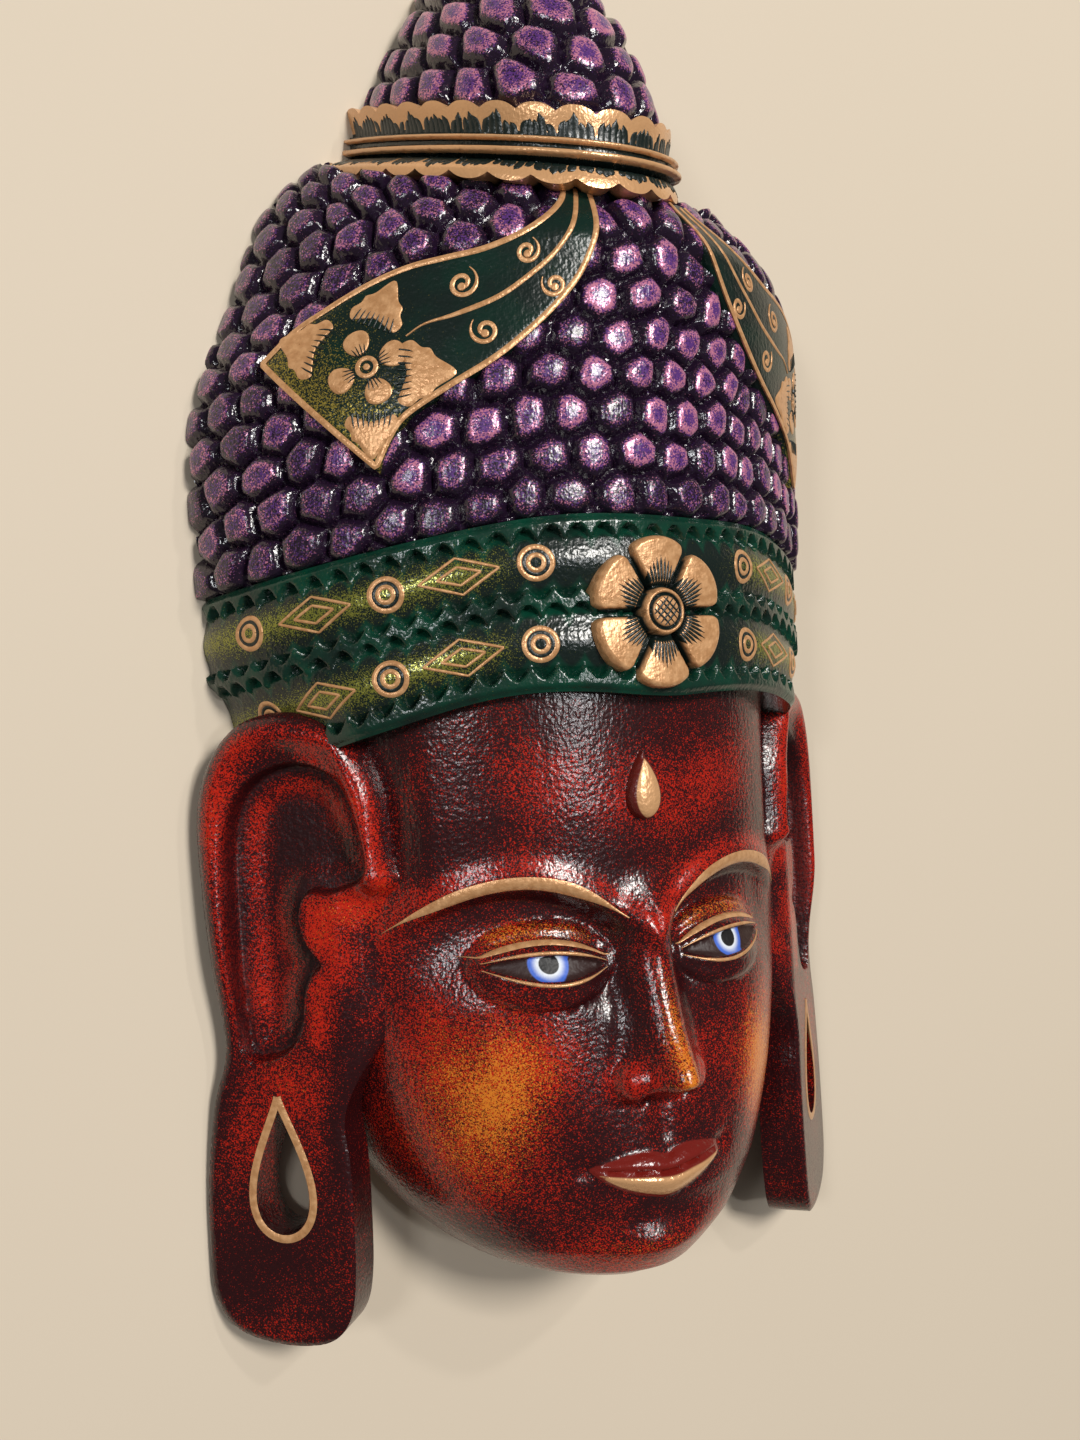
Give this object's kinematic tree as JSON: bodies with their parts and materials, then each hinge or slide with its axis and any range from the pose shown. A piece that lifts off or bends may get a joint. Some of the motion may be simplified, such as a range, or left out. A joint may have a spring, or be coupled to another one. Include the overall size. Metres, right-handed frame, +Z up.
{
  "type": "wooden wall mask",
  "caption": "Carved and painted wooden wall mask of a calm head with curled hair, topknot, headband and long pierced ears, hollow at the back.",
  "frame": {"origin": "on the floor under the middle of the mask, which lies on its back", "axes": "+X to the viewer's right, +Y from the ear lobes to the topknot, +Z up, out of the face"},
  "size_m": [0.2636, 0.5, 0.1044],
  "materials": {
    "lacquered_wood": "glossy dark lacquer with gold and metallic paint"
  },
  "bodies": {
    "root": {"carved_mask": "lacquered_wood"}
  },
  "joints": []
}
